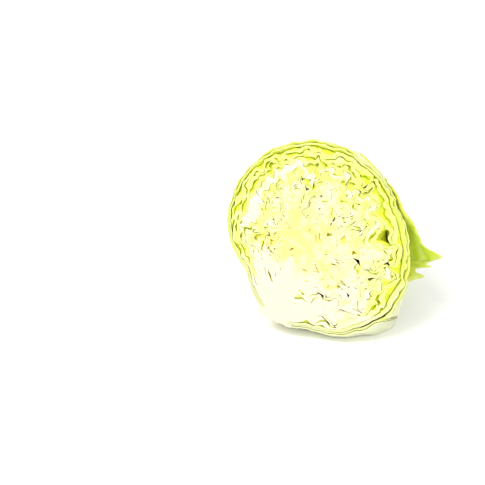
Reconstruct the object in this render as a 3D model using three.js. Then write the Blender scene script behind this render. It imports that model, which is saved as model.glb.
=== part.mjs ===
import * as THREE from 'three';

// Half of an iceberg lettuce head, cut through the stem, lying on the flat spot its own
// weight has pressed into the outer leaves. The cut face leans back and looks up and out.
//
// Every leaf is a thin shell between two surfaces of one nested family: the skin of the
// head scaled towards the heart. Two leaves with different depths can never meet.

const DEG = Math.PI / 180;

// Driving dimensions, mm and degrees.
const HEAD_RADIUS = 76.3; // mean radius of the cut face
const HEAD_OVAL = 4.8; // the face is this much longer and shorter along its two diagonals
const HEAD_OVAL_ANGLE = 140;
const HALF_DEPTH = 74; // from the cut face to the deepest point of the skin
const SHOULDERS = [ // the leaf bases draw in on both sides of the stem; a cheek swells out
  { middle: 231, width: 20, dent: 7.5 },
  { middle: 293, width: 13, dent: 3 },
  { middle: 333, width: 24, dent: -4.5 },
];
const HEART = [-10, -23, 0]; // heart of the head: across, along the stem, into the half
const FACE_TILT = 40; // the cut face looks this far above the horizon
const STEM_ROLL = 22; // the stem leans this far from upright in the cut face
const REST_DROP = 68; // from the middle of the head down to the flat spot

const STEM_LENGTH = 75.5; // from the middle of the head to the stem's cut end
const STEM_RADIUS = 15;
const STEM_GAP = 0.9; // air between the stem and the first edge of a leaf
const STEM_CONE = Math.asin(STEM_RADIUS / STEM_LENGTH) / DEG;

const FIRST_LAYER = 0.1; // layers run from 0 at the heart to 1 at the skin
const LAST_LAYER = 0.865;
const INNER_LEAVES = 22;
const HEART_LEAVES = 8; // the innermost ones, small and yellow
const LAYER_STEP = (LAST_LAYER - FIRST_LAYER) / (INNER_LEAVES - 1);
const LEAF_THICKNESS = 0.42 * LAYER_STEP;
const RIB_THICKNESS = 0.95 * LAYER_STEP; // extra at the foot of a leaf, into the free layer
const WRAPPER_THICKNESS = 0.011;

// ---------------------------------------------------------------- shape of the head

const add = (a, b) => a.map((v, i) => v + b[i]);
const scaled = (a, s) => a.map((v) => v * s);
const smooth = (lo, hi, x) => {
  const s = Math.min(1, Math.max(0, (x - lo) / (hi - lo)));
  return s * s * (3 - 2 * s);
};

// Unit directions of the part in head axes: across, along the stem, into the half.
const DOWN = [
  Math.sin(STEM_ROLL * DEG) * Math.cos(FACE_TILT * DEG),
  -Math.cos(STEM_ROLL * DEG) * Math.cos(FACE_TILT * DEG),
  Math.sin(FACE_TILT * DEG),
];

// depth: 0 straight into the half, 90 in the cut face. round: 0 across, 90 at the top,
// 180 across on the other side, 270 at the stem.
function direction(depth, round) {
  const inFace = Math.sin(depth * DEG);
  return [inFace * Math.cos(round * DEG), inFace * Math.sin(round * DEG), Math.cos(depth * DEG)];
}

function skinRadius(depth, round) {
  const turn = ((round % 360) + 360) % 360;
  const dent = SHOULDERS.reduce(
    (sum, one) => sum + one.dent * Math.exp(-(((turn - one.middle) / one.width) ** 2)),
    0,
  );
  const face = HEAD_RADIUS + HEAD_OVAL * Math.cos(2 * (round - HEAD_OVAL_ANGLE) * DEG) - dent;
  const free = 1 / Math.hypot(Math.sin(depth * DEG) / face, Math.cos(depth * DEG) / HALF_DEPTH);
  const fall = direction(depth, round).reduce((sum, v, i) => sum + v * DOWN[i], 0);
  return fall > 0 ? Math.min(free, REST_DROP / fall) : free;
}

function inHead(layer, depth, round) {
  const skin = scaled(direction(depth, round), layer * skinRadius(depth, round));
  return add(skin, scaled(HEART, 1 - layer));
}

// Where the edge of the stem's cone lies, for a turn about the stem from 0 to 180.
function stemEdge(turn) {
  const side = Math.sin(STEM_CONE * DEG);
  const back = side * Math.sin(turn * DEG);
  const round = Math.atan2(-Math.cos(STEM_CONE * DEG), side * Math.cos(turn * DEG)) / DEG;
  return { round: (round + 360) % 360, depth: Math.acos(back) / DEG };
}

// ---------------------------------------------------------------- solids

function solid(name, vertices, triangles, colour, roughness) {
  const volume = triangles.reduce((sum, [a, b, c]) => {
    const [p, q, r] = [vertices[a], vertices[b], vertices[c]].map((v) => new THREE.Vector3(...v));
    return sum + p.dot(q.cross(r));
  }, 0);
  const facing = volume < 0 ? triangles.map(([a, b, c]) => [a, c, b]) : triangles;
  const geometry = new THREE.BufferGeometry();
  geometry.setAttribute('position', new THREE.Float32BufferAttribute(vertices.flat(), 3));
  geometry.setIndex(facing.flat());
  geometry.computeVertexNormals();
  const material = new THREE.MeshStandardMaterial({ color: colour, roughness, metalness: 0 });
  const mesh = new THREE.Mesh(geometry, material);
  mesh.name = name;
  return mesh;
}

// A grid of columns and rings made into a closed shell with an outer and an inner side.
// A cap has its columns joined round and one more point in the middle of its rings.
function shell(columns, outer, inner, cap) {
  const rings = columns[0].length;
  const wide = columns.length;
  const vertices = [];
  for (const column of columns) for (const at of column) vertices.push(outer(at));
  for (const column of columns) for (const at of column) vertices.push(inner(at));
  const half = wide * rings;
  const triangles = [];
  const quad = (a, b, c, d) => triangles.push([a, b, c], [a, c, d]);
  const spans = cap ? wide : wide - 1;
  for (let j = 0; j < spans; j += 1) {
    const here = j * rings;
    const next = ((j + 1) % wide) * rings;
    for (let k = 0; k < rings - 1; k += 1) {
      const [a, b, c, d] = [here + k, here + k + 1, next + k + 1, next + k];
      quad(a, b, c, d);
      quad(half + a, half + d, half + c, half + b);
    }
    const rim = rings - 1;
    quad(here + rim, half + here + rim, half + next + rim, next + rim);
    if (!cap) quad(next, half + next, half + here, here);
  }
  if (cap) {
    const middle = { depth: 0, round: 0 };
    const top = vertices.push(outer(middle)) - 1;
    const under = vertices.push(inner(middle)) - 1;
    for (let j = 0; j < wide; j += 1) {
      const next = ((j + 1) % wide) * rings;
      triangles.push([top, j * rings, next], [under, half + next, half + j * rings]);
    }
  } else {
    const last = (wide - 1) * rings;
    for (let k = 0; k < rings - 1; k += 1) {
      quad(k + 1, k, half + k, half + k + 1);
      quad(last + k, last + k + 1, half + last + k + 1, half + last + k);
    }
  }
  return [vertices, triangles];
}

// Columns of a leaf from one turn to another, climbing; the stem's own edge is stepped
// round so that no leaf crosses it.
function leafColumns({ from, to, step, depths, margin }) {
  const turns = [];
  for (let round = Math.ceil(from / step) * step; round <= to + 1e-6; round += step) {
    turns.push(round);
  }
  const edges = [0, 30, 60, 90, 120, 150, 180].map(stemEdge);
  const stemTurns = edges.map((edge) => edge.round);
  const lowest = Math.min(...stemTurns);
  const highest = Math.max(...stemTurns);
  const clear = (round) => {
    const turn = ((round % 360) + 360) % 360;
    return turn < lowest - 3 || turn > highest + 3;
  };
  const all = turns.filter(clear);
  for (const turn of stemTurns) {
    for (const lap of [turn, turn - 360]) if (lap >= from - 1e-6 && lap <= to + 1e-6) all.push(lap);
  }
  all.sort((a, b) => a - b);
  return all.map((round) => {
    const turn = ((round % 360) + 360) % 360;
    const edge = edges.find((one) => Math.abs(one.round - turn) < 1e-6);
    const reach = Math.min(edge ? edge.depth : 90, margin ? margin(turn) : 90);
    return depths.map((depth) => ({ depth: (depth * reach) / 90, round }));
  });
}

// ---------------------------------------------------------------- inner leaves

// A leaf rises from one side of the stem, passes over the top and stops on the other
// side; every fifth closes all the way round. Ends are staggered from leaf to leaf.
const SIDES = ['left', 'right', 'left', 'right', 'round'];
const COLOURS = [0xf7f3a0, 0xf4f0ae, 0xeff0a4, 0xe6eb96, 0xdde688];

function innerLeaf(index) {
  const side = SIDES[index % SIDES.length];
  const next = SIDES[(index + 1) % SIDES.length];
  const layer = FIRST_LAYER + index * LAYER_STEP;
  const heart = index < HEART_LEAVES;
  const step = heart ? 40 : 20;
  const depths = heart ? [30, 60, 90] : [18, 36, 54, 72, 90];
  const stagger = (index * 7) % 3;
  const spans = {
    left: [-step + (heart ? 0 : stagger * step), 265],
    right: [-85, heart ? 160 : 200 - stagger * step],
    round: [-90, 269],
  };
  const [from, to] = spans[side];
  const foot = ({ round }) => {
    if (index === INNER_LEAVES - 1) return 0;
    if (side === 'left' && next === 'right') return smooth(205, 250, round);
    if (side === 'right' && next === 'left') return smooth(-25, -70, round);
    return 0;
  };
  const thick = (at) => layer + LEAF_THICKNESS + RIB_THICKNESS * foot(at);
  const [vertices, triangles] = shell(
    leafColumns({ from, to, step, depths }),
    (at) => inHead(thick(at), at.depth, at.round),
    (at) => inHead(layer, at.depth, at.round),
    side === 'round',
  );
  const name = heart ? `heart_leaf_${index + 1}` : `inner_leaf_${index - HEART_LEAVES + 1}`;
  const colour = COLOURS[Math.floor((index / INNER_LEAVES) * COLOURS.length)];
  return [name, vertices, triangles, colour, 0.5];
}

// ---------------------------------------------------------------- wrapper leaves

const WRAPPER_DEPTHS = [9, 18, 27, 36, 45, 54, 63, 72, 81, 90];

function wrapperLeaf(name, layer, from, to, colour, { closed = false, margin, flare } = {}) {
  const lift = flare ?? (() => 0);
  const at = (shift) => (spot) => inHead(layer + shift + lift(spot), spot.depth, spot.round);
  const [vertices, triangles] = shell(
    leafColumns({ from, to, step: 10, depths: WRAPPER_DEPTHS, margin }),
    at(WRAPPER_THICKNESS),
    at(0),
    closed,
  );
  return [name, vertices, triangles, colour, 0.45];
}

// The outermost leaf holds the head from behind and below: its free edge stands well
// back from the cut face over the top and reaches it only beside the stem and low down
// on the right.
const MARGIN_BACK = 34; // degrees from the cut face to the free edge over the top
const outerMargin = (turn) => {
  const lap = (((turn + 90) % 360) + 360) % 360;
  const back = lap < 180 ? smooth(60, 85, lap) : smooth(32, 95, 360 - lap);
  return 90 - MARGIN_BACK * back + 4 * Math.sin(turn * 3 * DEG) * back;
};

// The loose leaf lies under the outermost one low down, stands a little off the head on
// its upper right, and springs away to a torn point at the middle of the rim.
const looseFlare = ({ depth, round }) => {
  const standing = 0.045 * smooth(88, 62, round);
  const springing = 0.24 * smooth(21, 10, round);
  return (standing + springing) * smooth(62, 89, depth) * smooth(-16, -4, round);
};
const looseMargin = (turn) => {
  const round = turn > 180 ? turn - 360 : turn;
  return 90 - 26 * smooth(-26, -14, round) * smooth(11, -2, round);
};

// ---------------------------------------------------------------- stem

function stem() {
  const turns = [0, 30, 60, 90, 120, 150, 180];
  const stations = [0.13, 0.32, 0.55, 0.8, 0.98, 1.0];
  const vertices = [];
  for (const along of stations) {
    const end = along === 1 ? 1.6 : 0; // the rim of the cut end is rounded off
    const middle = add(scaled(HEART, 1 - along), [0, -STEM_LENGTH * along, 0]);
    const radius = STEM_RADIUS * along - STEM_GAP - end;
    for (const turn of turns) {
      const round = [radius * Math.cos(turn * DEG), 0, radius * Math.sin(turn * DEG)];
      vertices.push(add(middle, round));
    }
  }
  const wide = turns.length;
  const triangles = [];
  for (let i = 0; i < stations.length - 1; i += 1) {
    for (let j = 0; j < wide; j += 1) {
      const [a, b] = [i * wide + j, i * wide + ((j + 1) % wide)];
      triangles.push([a, b, b + wide], [a, b + wide, a + wide]);
    }
  }
  const last = (stations.length - 1) * wide;
  for (let j = 1; j < wide - 1; j += 1) {
    triangles.push([0, j + 1, j], [last, last + j, last + j + 1]);
  }
  return ['stem', vertices, triangles, 0xf6f1dc, 0.55];
}

// ---------------------------------------------------------------- the part

const pieces = [
  stem(),
  ...Array.from({ length: INNER_LEAVES }, (_, index) => innerLeaf(index)),
  wrapperLeaf('under_leaf', 0.891, -90, 269, 0xd3df86, { closed: true }),
  wrapperLeaf('left_leaf', 0.913, 60, 265, 0xc9da7c),
  wrapperLeaf('right_leaf', 0.935, -85, 110, 0xc4d773),
  wrapperLeaf('loose_leaf', 0.964, -79, 88, 0xc2d254, { margin: looseMargin, flare: looseFlare }),
  wrapperLeaf('outer_leaf', 0.989, -90, 269, 0xbfd36c, { closed: true, margin: outerMargin }),
];

// Head axes turned into the part's own: X to the right, Z up, the cut face towards -Y.
function standing([across, along, into]) {
  const [rollSin, rollCos] = [Math.sin(STEM_ROLL * DEG), Math.cos(STEM_ROLL * DEG)];
  const [tiltSin, tiltCos] = [Math.sin(FACE_TILT * DEG), Math.cos(FACE_TILT * DEG)];
  const right = across * rollCos + along * rollSin;
  const up = along * rollCos - across * rollSin;
  return [right, up * tiltSin + into * tiltCos, up * tiltCos - into * tiltSin];
}

const box = new THREE.Box3();
const placed = pieces.map(([name, vertices, ...rest]) => {
  const stood = vertices.map(standing);
  for (const point of stood) box.expandByPoint(new THREE.Vector3(...point));
  return [name, stood, ...rest];
});
const shift = [-(box.min.x + box.max.x) / 2, -(box.min.y + box.max.y) / 2, REST_DROP];

const part = new THREE.Group();
part.name = 'iceberg_lettuce_half';
for (const [name, stood, triangles, colour, roughness] of placed) {
  const vertices = stood.map((point) => add(point, shift));
  part.add(solid(name, vertices, triangles, colour, roughness));
}

export default part;
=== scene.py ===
import logging
import math
from dataclasses import dataclass, field
from enum import Enum, IntEnum
from typing import Callable, Optional, Sequence, Union

import bpy
import numpy as np
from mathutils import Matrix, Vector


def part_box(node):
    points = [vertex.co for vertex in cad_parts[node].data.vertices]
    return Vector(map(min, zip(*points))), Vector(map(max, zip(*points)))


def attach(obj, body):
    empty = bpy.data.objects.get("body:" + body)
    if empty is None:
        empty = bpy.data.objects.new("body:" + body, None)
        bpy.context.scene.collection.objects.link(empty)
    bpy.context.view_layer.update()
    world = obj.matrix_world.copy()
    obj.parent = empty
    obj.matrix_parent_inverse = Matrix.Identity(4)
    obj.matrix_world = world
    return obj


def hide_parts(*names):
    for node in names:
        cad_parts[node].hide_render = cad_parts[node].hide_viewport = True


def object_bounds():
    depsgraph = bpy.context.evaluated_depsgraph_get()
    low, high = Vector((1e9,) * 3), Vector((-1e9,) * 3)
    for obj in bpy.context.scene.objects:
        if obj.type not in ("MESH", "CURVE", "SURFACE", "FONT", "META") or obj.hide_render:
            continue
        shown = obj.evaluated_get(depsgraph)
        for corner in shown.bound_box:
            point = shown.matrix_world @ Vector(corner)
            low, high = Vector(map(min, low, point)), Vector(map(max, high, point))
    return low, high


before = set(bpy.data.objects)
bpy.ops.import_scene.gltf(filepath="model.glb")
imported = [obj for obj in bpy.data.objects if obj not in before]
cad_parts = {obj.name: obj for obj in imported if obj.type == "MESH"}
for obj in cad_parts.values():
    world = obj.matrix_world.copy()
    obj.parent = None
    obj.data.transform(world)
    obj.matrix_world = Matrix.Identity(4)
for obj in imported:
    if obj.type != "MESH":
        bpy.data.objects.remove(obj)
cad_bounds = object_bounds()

LOG = logging.getLogger("lettuce")
Array = np.ndarray
MM = 0.001
FACE = 90.0
STEM_RIGHT, STEM_LEFT = -82.0, 262.0
USUAL_RADIUS = 76.0


def smooth(low: float, high: float, x: Array) -> Array:
    """Ease from 0 at low to 1 at high.

    Args:
        low: where the step begins; it may be above high for a falling step.
        high: where the step ends.
        x: the values to read.

    Returns:
        s squared times (3 - 2 s), with s the share of the way from low to high.
    """
    s = np.clip((np.asarray(x, dtype=float) - low) / (high - low), 0.0, 1.0)
    return s * s * (3.0 - 2.0 * s)


def bell(x: Array, middle: float, width: float) -> Array:
    """Return exp(-((x - middle) / width) squared)."""
    return np.exp(-(((x - middle) / width) ** 2))


def unrolled(turn: Array) -> Array:
    """Return round angles as -90 to 270 degrees, which begin and end at the stem."""
    return np.where(turn > 270.0, turn - 360.0, turn)


def signed(turn: Array) -> Array:
    """Return round angles as -180 to 180 degrees, 0 at the right of the face."""
    return np.mod(turn + 180.0, 360.0) - 180.0


class Grain:
    """Seeded gradient noise in three dimensions."""

    CORNERS = [(i, j, k) for i in (0, 1) for j in (0, 1) for k in (0, 1)]
    SLOPES = np.array(
        [[1, 1, 0], [-1, 1, 0], [1, -1, 0], [-1, -1, 0], [1, 0, 1], [-1, 0, 1],
         [1, 0, -1], [-1, 0, -1], [0, 1, 1], [0, -1, 1], [0, 1, -1], [0, -1, -1]], dtype=float)

    @staticmethod
    def mixed(cell: Array, seed: int) -> Array:
        """Scramble whole-number cells into whole numbers.

        Args:
            cell: integer cell positions, last axis of three.
            seed: picks the pattern.

        Returns:
            One non-negative integer for each cell.
        """
        c = cell.astype(np.int64)
        h = c[..., 0] * 73856093 ^ c[..., 1] * 19349663 ^ c[..., 2] * 83492791 ^ (seed * 26544357)
        h = (h ^ (h >> 13)) * 1274126177 & 0x7FFFFFFF
        return h ^ (h >> 16)

    @classmethod
    def at(cls, points: Array, seed: int = 0) -> Array:
        """Read the noise: corner slopes of each cell blended with a fifth-power ease.

        Args:
            points: positions with one unit to a cell, last axis of three.
            seed: picks the pattern.

        Returns:
            Values of about -1 to 1.
        """
        low = np.floor(points)
        part = points - low
        ease = part ** 3 * (part * (part * 6.0 - 15.0) + 10.0)
        total = np.zeros(points.shape[:-1])
        for corner in cls.CORNERS:
            offset = np.array(corner, dtype=float)
            slope = cls.SLOPES[cls.mixed(low + offset, seed) % 12]
            weight = np.prod(np.where(offset > 0, ease, 1.0 - ease), axis=-1)
            total += weight * np.sum(slope * (part - offset), axis=-1)
        return total * 1.05

    @classmethod
    def cells(cls, points: Array, seed: int = 0) -> Array:
        """Measure how far each point is from the wall between two scattered cell middles.

        Args:
            points: positions with about one cell to a unit, last axis of three.
            seed: picks the pattern.

        Returns:
            Second nearest distance less the nearest: 0 on a wall, about 0.6 in a cell.
        """
        low = np.floor(points)
        near = np.full(points.shape[:-1], 9.0)
        second = near.copy()
        for i in (-1, 0, 1):
            for j in (-1, 0, 1):
                for k in (-1, 0, 1):
                    cell = low + np.array([i, j, k], dtype=float)
                    h = cls.mixed(cell, seed)
                    parts = [h % 1021, (h // 1021) % 1019, (h // 7919) % 1013]
                    jitter = np.stack(parts, -1) / 1020.0
                    away = np.linalg.norm(cell + jitter - points, axis=-1)
                    second = np.minimum(second, np.maximum(near, away))
                    near = np.minimum(near, away)
        return second - near


@dataclass(frozen=True)
class Pattern:
    """One noise with its seed and the size of its cells in mm."""

    seed: int
    size: float

    def at(self, points: Array, own: Union[Array, float] = 0.0, rank: int = 0) -> Array:
        """Read the noise at points in mm, shifted by own cells, a new seed for each rank."""
        return Grain.at(points / self.size + own, self.seed + rank)


class Patterns:
    """Every noise that shapes the leaves and the stem."""

    THICK = Pattern(3, 17.0)
    THICK_FINE = Pattern(4, 6.0)
    POCKET = Pattern(5, 7.5)
    LOOSE = Pattern(6, 13.0)
    CRINKLE = Pattern(7, 6.5)
    RECESS = Pattern(8, 5.0)
    FRILL = Pattern(9, 4.2)
    WANDER = Pattern(20, 38.0)
    FINE_WANDER = Pattern(30, 13.0)
    VEIN_PATCH = 40
    BLISTER = Pattern(50, 5.2)
    BLISTER_BEND = Pattern(6, 7.0)
    RIPPLE = Pattern(60, 9.0)
    SWELL = Pattern(70, 34.0)
    FINE_SWELL = Pattern(71, 13.0)
    CORE = 80
    CUT_END = Pattern(81, 6.0)
    FLAP = Pattern(90, 12.0)
    FINE_FLAP = Pattern(91, 7.0)


# ---------------------------------------------------------------- shape of the head


@dataclass(frozen=True)
class Shear:
    """One wave of the crumpling: points slide along one direction by a sine across it."""

    turn: float
    length: float
    reach: float
    phase: float
    slant: float = 0.35


@dataclass(frozen=True)
class Spot:
    """A round place on the cut face, in mm from the head's middle."""

    across: float
    along: float
    radius: float

    def near(self, points: Array) -> Array:
        """Return 1 at the middle of the spot, falling as a bell with distance from it."""
        away = np.hypot(points[..., 0] - self.across, points[..., 1] - self.along)
        return bell(away, 0.0, self.radius)


@dataclass(frozen=True)
class Dent:
    """A hollow in the head's outline, in degrees and mm; a negative size bulges."""

    turn: float
    width: float
    size: float


@dataclass
class Head:
    """The nested family of surfaces that every leaf lies in, in millimetres.

    Head axes are: across the cut face, up along the stem, and into the half. A place is
    given by a layer (0 at the heart, 1 at the skin), a depth angle (0 straight into the
    half, 90 in the cut face) and a round angle (0 across, 90 at the top, 270 at the stem).
    """

    radius: float = 76.3
    oval: float = 4.8
    oval_turn: float = 140.0
    depth: float = 74.0
    heart: tuple[float, float, float] = (-10.0, -23.0, 0.0)
    face_tilt: float = math.radians(40.0)
    stem_roll: float = math.radians(22.0)
    rest_drop: float = 68.0
    stem_length: float = 75.5
    stem_radius: float = 15.0
    shoulders: tuple[Dent, ...] = (
        Dent(231.0, 20.0, 7.5), Dent(293.0, 13.0, 3.0), Dent(333.0, 24.0, -4.5))
    give: float = 0.25
    blend: float = 1.2
    inner_end: float = 0.912
    shears: tuple[Shear, ...] = (
        Shear(90.0, 34.0, 2.6, 0.4), Shear(0.0, 31.0, 2.2, 1.9), Shear(45.0, 21.0, 2.0, 4.4),
        Shear(135.0, 19.0, 1.9, 2.6), Shear(90.0, 12.5, 1.35, 0.9, 0.6),
        Shear(0.0, 11.5, 1.25, 3.7, -0.5), Shear(135.0, 8.4, 0.8, 5.2, 0.7),
        Shear(45.0, 7.6, 0.75, 1.1, -0.8),
    )
    calm: tuple[Spot, ...] = (Spot(48.0, 24.0, 11.0), Spot(-28.0, 50.0, 7.0))
    leaf_calm: float = 0.85
    shift: Array = field(init=False)

    def __post_init__(self) -> None:
        """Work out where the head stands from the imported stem's box."""
        turn = np.radians(np.array([0.0, 180.0]))
        edge = self.stem_radius * 0.98 - 0.9
        rims = np.stack([edge * np.cos(turn), 0.0 * turn, 0.0 * turn], -1)
        middle = np.array(self.heart) * 0.02 + np.array([0.0, -self.stem_length * 0.98, 0.0])
        low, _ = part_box("stem")
        stood = self.stood(rims + middle)
        self.shift = np.array([low[0] / MM - stood[:, 0].min(), low[1] / MM - stood[:, 1].min(),
                               self.rest_drop])

    def stood(self, points: Array) -> Array:
        """Turn head axes into the part's own: X right, Z up, the cut face towards -Y."""
        across, along, into = points[..., 0], points[..., 1], points[..., 2]
        up = along * math.cos(self.stem_roll) - across * math.sin(self.stem_roll)
        right = across * math.cos(self.stem_roll) + along * math.sin(self.stem_roll)
        back = up * math.sin(self.face_tilt) + into * math.cos(self.face_tilt)
        rise = up * math.cos(self.face_tilt) - into * math.sin(self.face_tilt)
        return np.stack([right, back, rise], -1)

    def placed(self, points: Array) -> Array:
        """Stand points on the floor, softly stopped there, and turn them into metres.

        Args:
            points: positions in head axes, mm.

        Returns:
            Positions in the part's frame, m.
        """
        stood = self.stood(points) + self.shift
        z = stood[..., 2] / self.give
        soft = np.log1p(np.exp(np.minimum(z, 30.0)))
        stood[..., 2] = self.give * np.where(z > 30.0, z, soft)
        return stood * MM

    @staticmethod
    def direction(depth: Array, turn: Array) -> Array:
        """Return unit directions in head axes for depth and round angles in degrees."""
        d, r = np.radians(depth), np.radians(turn)
        return np.stack([np.sin(d) * np.cos(r), np.sin(d) * np.sin(r), np.cos(d)], -1)

    def skin(self, depth: Array, turn: Array) -> Array:
        """Measure the head from its middle to its skin.

        The face outline is a circle with a two-lobed swell, a dent beside the stem on
        each side and a full cheek low on the right. It blends into the depth as an
        ellipsoid does, and stops softly at the plane of the flat spot.

        Args:
            depth: depth angles, degrees.
            turn: round angles, degrees.

        Returns:
            The distance in mm.
        """
        lap = np.mod(turn, 360.0)
        face = self.radius + self.oval * np.cos(np.radians(2.0 * (turn - self.oval_turn)))
        for dent in self.shoulders:
            face = face - dent.size * bell(lap, dent.turn, dent.width)
        d = np.radians(depth)
        free = 1.0 / np.hypot(np.sin(d) / face, np.cos(d) / self.depth)
        down = np.array([math.sin(self.stem_roll) * math.cos(self.face_tilt),
                         -math.cos(self.stem_roll) * math.cos(self.face_tilt),
                         math.sin(self.face_tilt)])
        fall = self.direction(depth, turn) @ down
        stop = self.rest_drop / np.maximum(fall, 0.05)
        gap = np.clip(np.abs(free - stop) / self.blend, 0.0, 40.0)
        return np.minimum(free, stop) - self.blend * np.log1p(np.exp(-gap))

    @staticmethod
    def fuller(turn: Array) -> Array:
        """Return how much further out the leaves lie on the right, where one stands off."""
        return 0.038 * bell(signed(turn), 6.0, 24.0)

    def seam(self, turn: Array) -> Array:
        """Return the layer where the inner leaves end."""
        top = 0.026 * smooth(30.0, 70.0, turn) * smooth(220.0, 180.0, turn)
        return self.inner_end + top + self.fuller(turn)

    def at(self, layer: Array, depth: Array, turn: Array) -> Array:
        """Place layers in head axes: the skin scaled about the heart."""
        reach = (layer * self.skin(depth, turn))[..., None]
        return reach * self.direction(depth, turn) + (1.0 - layer)[..., None] * np.array(self.heart)

    def crumpled(self, points: Array, layer: Array) -> Array:
        """Crumple the whole head at once, so that leaves never cross each other.

        Each shear slides points in the plane of the cut face along one direction by a sine
        of their place across it. The reach falls to nothing at the stem, and is small in
        the outermost leaves, in the thick ribs low on both sides and in a few calm places.

        Args:
            points: positions in head axes, mm.
            layer: the layer of each point.

        Returns:
            Moved positions in head axes, mm.
        """
        from_heart = points - np.array(self.heart)
        side = np.hypot(from_heart[..., 0] * 1.25, from_heart[..., 2])
        foot = smooth(18.0, 46.0, side) + smooth(-6.0, 14.0, from_heart[..., 1])
        amount = np.clip(foot, 0.0, 1.0) * (1.0 - self.leaf_calm * smooth(0.82, 0.94, layer))
        left = smooth(16.0, 40.0, -from_heart[..., 0]) * smooth(0.64, 0.74, layer)
        calm_left = 1.0 - self.leaf_calm * left * smooth(0.87, 0.83, layer)
        amount = amount * smooth(0.02, 0.35, layer) * calm_left
        for place in self.calm:
            amount = amount * (1.0 - 0.8 * place.near(points))
        moved = points.copy()
        for wave in self.shears:
            turn = math.radians(wave.turn)
            along = np.array([math.cos(turn), math.sin(turn), 0.0])
            across = np.array([-math.sin(turn), math.cos(turn), wave.slant]) / wave.length
            swing = np.sin(2.0 * math.pi * (moved @ across) + wave.phase)
            moved = moved + (wave.reach * amount * swing)[..., None] * along
        return moved


# ---------------------------------------------------------------- meshes


@dataclass
class Sheet:
    """A closed leaf: an outer and an inner side on the same grid of columns and rows."""

    outer: Array
    inner: Array
    marks: dict[str, tuple[Array, Array]]
    wrapped: bool = False
    capped: bool = False

    def caps(self, count: int) -> Array:
        """List the triangles that close both sides at the pole, if the leaf has one."""
        if not self.capped:
            return np.zeros((0, 3), dtype=int)
        wide, rows = self.outer.shape[:2]
        ring = np.arange(wide) * rows + rows - 1
        after = np.roll(ring, -1)
        outside = np.stack([ring, np.full(wide, count), after], -1)
        inside = np.stack([after, np.full(wide, count + 1), ring], -1)
        inside[:, 0] += wide * rows
        inside[:, 2] += wide * rows
        return np.concatenate([outside, inside])

    def faces(self) -> Array:
        """List the quads of both sides and of the edges that join them."""
        wide, rows = self.outer.shape[:2]
        index = np.arange(wide * rows).reshape(wide, rows)
        inside = index + wide * rows
        if self.wrapped:
            index = np.concatenate([index, index[:1]])
            inside = np.concatenate([inside, inside[:1]])

        def quads(a: Array, b: Array, c: Array, d: Array) -> Array:
            """Stack four corner grids into rows of four."""
            return np.stack([a.ravel(), b.ravel(), c.ravel(), d.ravel()], -1)

        parts = [
            quads(index[:-1, :-1], index[:-1, 1:], index[1:, 1:], index[1:, :-1]),
            quads(inside[:-1, :-1], inside[1:, :-1], inside[1:, 1:], inside[:-1, 1:]),
            quads(index[:-1, 0], index[1:, 0], inside[1:, 0], inside[:-1, 0]),
        ]
        if not self.capped:
            parts.append(quads(index[:-1, -1], inside[:-1, -1], inside[1:, -1], index[1:, -1]))
        if not self.wrapped:
            parts.append(quads(index[0, :-1], inside[0, :-1], inside[0, 1:], index[0, 1:]))
            parts.append(quads(index[-1, :-1], index[-1, 1:], inside[-1, 1:], inside[-1, :-1]))
        return np.concatenate(parts)

    def build(self, name: str, head: Head, crease: float) -> bpy.types.Object:
        """Make the leaf's mesh object with its marks as point attributes.

        Args:
            name: the object's name.
            head: gives the place of the points in the part's frame.
            crease: the angle in degrees above which an edge stays sharp.

        Returns:
            The new object, linked to the scene.
        """
        points = np.concatenate([self.outer.reshape(-1, 3), self.inner.reshape(-1, 3)])
        faces, caps = self.faces(), self.caps(len(points))
        if self.capped:
            poles = np.stack([self.outer[:, -1].mean(axis=0), self.inner[:, -1].mean(axis=0)])
            points = np.concatenate([points, poles])
        points = head.placed(points)
        a, b, c, d = (points[faces[:, i]] for i in range(4))
        volume = np.sum(a * np.cross(b, c)) + np.sum(a * np.cross(c, d))
        if volume < 0.0:
            faces, caps = faces[:, ::-1], caps[:, ::-1]
        mesh = bpy.data.meshes.new(name)
        mesh.vertices.add(len(points))
        mesh.vertices.foreach_set("co", points.ravel())
        mesh.loops.add(faces.size + caps.size)
        mesh.loops.foreach_set("vertex_index", np.concatenate([faces.ravel(), caps.ravel()]))
        mesh.polygons.add(len(faces) + len(caps))
        mesh.polygons.foreach_set("loop_start", np.concatenate(
            [np.arange(0, faces.size, 4), faces.size + np.arange(0, caps.size, 3)]))
        mesh.update(calc_edges=True)
        mesh.polygons.foreach_set("use_smooth", np.ones(len(mesh.polygons), dtype=bool))
        mesh.set_sharp_from_angle(angle=math.radians(crease))
        for mark, (outside, inside) in self.marks.items():
            layer = mesh.attributes.new(mark, "FLOAT", "POINT")
            values = np.concatenate([outside.ravel(), inside.ravel()])
            layer.data.foreach_set("value", np.pad(values, (0, len(points) - len(values)), "edge"))
        mesh.validate()
        piece = bpy.data.objects.new(name, mesh)
        bpy.context.scene.collection.objects.link(piece)
        return piece


# ---------------------------------------------------------------- shader expressions


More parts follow.
